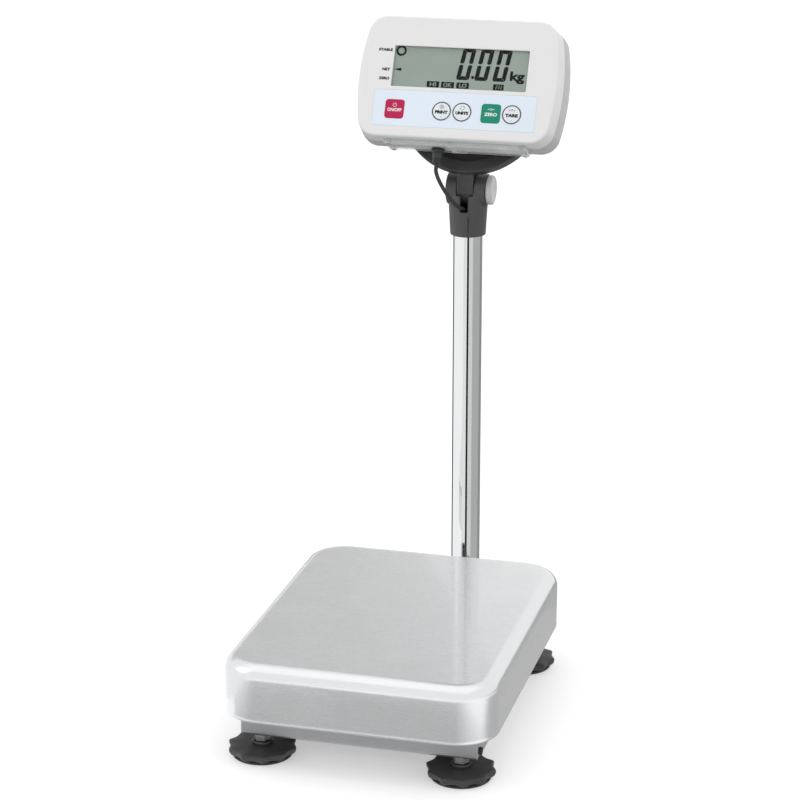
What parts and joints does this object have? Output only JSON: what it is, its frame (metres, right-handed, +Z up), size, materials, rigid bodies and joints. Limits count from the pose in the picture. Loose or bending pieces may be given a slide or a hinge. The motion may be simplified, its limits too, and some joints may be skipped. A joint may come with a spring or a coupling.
{
  "type": "animal weighing scale",
  "caption": "Platform scale for small animals: rounded stainless pan on levelling feet, with a chrome column behind it that carries a tilting digital display head.",
  "frame": {"origin": "on the floor, below the centre of the object's box", "axes": "+Z up, +X to the right as the display is read, +Y from the pan back to the column"},
  "size_m": [0.33, 0.604, 0.7991],
  "materials": {
    "stainless_sheet": "brushed along the pan, satin",
    "frame_steel": "rolled, satin",
    "zinc_steel": "zinc plated",
    "cell_aluminium": "machined",
    "chrome_tube": "polished",
    "foot_plastic": "fine grain",
    "foot_rubber": "matt",
    "yoke_plastic": "fine grain, dark grey",
    "knob_plastic": "translucent white",
    "front_plastic": "off-white, satin",
    "rear_plastic": "light grey, fine grain",
    "gasket_rubber": "matt",
    "window_plastic": "clear",
    "lcd_glass": "grey-green",
    "board_green": "solder mask",
    "switch_black": "moulded",
    "overlay_film": "pale blue film",
    "key_magenta": "printed film",
    "key_white": "printed film",
    "key_green": "printed film",
    "clear_plastic": "clear moulding",
    "cable_jacket": "smooth jacket"
  },
  "bodies": {
    "base": {"front_channel": "frame_steel", "rear_channel": "frame_steel", "left_channel": "frame_steel", "right_channel": "frame_steel", "cross_channel": "frame_steel", "foot_nuts": "zinc_steel", "overload_stops": "zinc_steel", "lower_spacer": "frame_steel", "load_cell": "cell_aluminium", "lower_cell_bolts": "zinc_steel", "pole_bracket": "frame_steel", "bracket_bolts": "zinc_steel", "display_pole": "chrome_tube", "frame_grommets": "foot_rubber", "sensor_cable": "cable_jacket", "level_vial": "window_plastic", "vial_holder": "yoke_plastic", "pole_yoke": "yoke_plastic", "yoke_set_screws": "zinc_steel", "pivot_nut": "zinc_steel"},
    "platform": {"upper_spacer": "frame_steel", "upper_cell_bolts": "zinc_steel", "pan_carrier": "frame_steel", "pan_cushions": "foot_rubber"},
    "pan": {"weighing_pan": "stainless_sheet"},
    "knob": {"clamp_knob": "knob_plastic", "pivot_bolt": "zinc_steel"},
    "head": {"head_saddle": "yoke_plastic", "saddle_screws": "zinc_steel", "rear_cover": "rear_plastic", "front_cover": "front_plastic", "casing_gasket": "gasket_rubber", "casing_screws": "zinc_steel", "display_window": "window_plastic", "lcd_module": "lcd_glass", "main_board": "board_green", "tact_switches": "switch_black", "keypad_overlay": "overlay_film", "battery_pack": "switch_black", "cable_socket": "switch_black", "cable_plug": "switch_black", "display_lead": "cable_jacket", "clear_cover": "clear_plastic"},
    "key_power": {"key_power": "key_magenta"},
    "key_print": {"key_print": "key_white"},
    "key_units": {"key_units": "key_white"},
    "key_zero": {"key_zero": "key_green"},
    "key_tare": {"key_tare": "key_white"},
    "foot_1": {"foot_pad_1": "foot_rubber"},
    "wheel_1": {"foot_wheel_1": "foot_plastic", "foot_stud_1": "zinc_steel"},
    "foot_2": {"foot_pad_2": "foot_rubber"},
    "wheel_2": {"foot_wheel_2": "foot_plastic", "foot_stud_2": "zinc_steel"},
    "foot_3": {"foot_pad_3": "foot_rubber"},
    "wheel_3": {"foot_wheel_3": "foot_plastic", "foot_stud_3": "zinc_steel"},
    "foot_4": {"foot_pad_4": "foot_rubber"},
    "wheel_4": {"foot_wheel_4": "foot_plastic", "foot_stud_4": "zinc_steel"}
  },
  "joints": [
    {"name": "platform_load", "type": "slide", "parent": "base", "child": "platform", "axis": [0, 0, 1], "range_m": [-0.0006, 0], "stiffness_N_per_m": 1000000, "springref_m": 0.00006, "deforming": ["load_cell"]},
    {"name": "pan_lift", "type": "slide", "parent": "platform", "child": "pan", "axis": [0, 0, 1], "range_m": [0, 0.1]},
    {"name": "head_tilt", "type": "hinge", "parent": "base", "child": "head", "pos_m": [0, 0.266, 0.576], "axis": [1, 0, 0], "range_deg": [-35, 25], "deforming": ["display_lead"]},
    {"name": "knob_turn", "type": "hinge", "parent": "base", "child": "knob", "pos_m": [0, 0.266, 0.576], "axis": [1, 0, 0], "range_deg": [0, 540]},
    {"name": "key_power_press", "type": "slide", "parent": "head", "child": "key_power", "axis": [0, 0.891, -0.454], "range_m": [0, 0.0006], "stiffness_N_per_m": 600, "springref_m": -0.002},
    {"name": "key_print_press", "type": "slide", "parent": "head", "child": "key_print", "axis": [0, 0.891, -0.454], "range_m": [0, 0.0006], "stiffness_N_per_m": 600, "springref_m": -0.002},
    {"name": "key_units_press", "type": "slide", "parent": "head", "child": "key_units", "axis": [0, 0.891, -0.454], "range_m": [0, 0.0006], "stiffness_N_per_m": 600, "springref_m": -0.002},
    {"name": "key_zero_press", "type": "slide", "parent": "head", "child": "key_zero", "axis": [0, 0.891, -0.454], "range_m": [0, 0.0006], "stiffness_N_per_m": 600, "springref_m": -0.002},
    {"name": "key_tare_press", "type": "slide", "parent": "head", "child": "key_tare", "axis": [0, 0.891, -0.454], "range_m": [0, 0.0006], "stiffness_N_per_m": 600, "springref_m": -0.002},
    {"name": "foot_1_lift", "type": "slide", "parent": "base", "child": "foot_1", "axis": [0, 0, 1], "range_m": [-0.018, 0]},
    {"name": "foot_1_turn", "type": "hinge", "parent": "foot_1", "child": "wheel_1", "pos_m": [-0.121, -0.258, 0.01], "axis": [0, 0, 1], "range_deg": [-4320, 0]},
    {"name": "foot_2_lift", "type": "slide", "parent": "base", "child": "foot_2", "axis": [0, 0, 1], "range_m": [-0.018, 0]},
    {"name": "foot_2_turn", "type": "hinge", "parent": "foot_2", "child": "wheel_2", "pos_m": [0.121, -0.258, 0.01], "axis": [0, 0, 1], "range_deg": [-4320, 0]},
    {"name": "foot_3_lift", "type": "slide", "parent": "base", "child": "foot_3", "axis": [0, 0, 1], "range_m": [-0.018, 0]},
    {"name": "foot_3_turn", "type": "hinge", "parent": "foot_3", "child": "wheel_3", "pos_m": [-0.121, 0.078, 0.01], "axis": [0, 0, 1], "range_deg": [-4320, 0]},
    {"name": "foot_4_lift", "type": "slide", "parent": "base", "child": "foot_4", "axis": [0, 0, 1], "range_m": [-0.018, 0]},
    {"name": "foot_4_turn", "type": "hinge", "parent": "foot_4", "child": "wheel_4", "pos_m": [0.121, 0.078, 0.01], "axis": [0, 0, 1], "range_deg": [-4320, 0]}
  ],
  "couplings": [
    {"joint": "foot_1_lift", "follows": "foot_1_turn", "m_per_rad": 0.00023873},
    {"joint": "foot_2_lift", "follows": "foot_2_turn", "m_per_rad": 0.00023873},
    {"joint": "foot_3_lift", "follows": "foot_3_turn", "m_per_rad": 0.00023873},
    {"joint": "foot_4_lift", "follows": "foot_4_turn", "m_per_rad": 0.00023873}
  ]
}
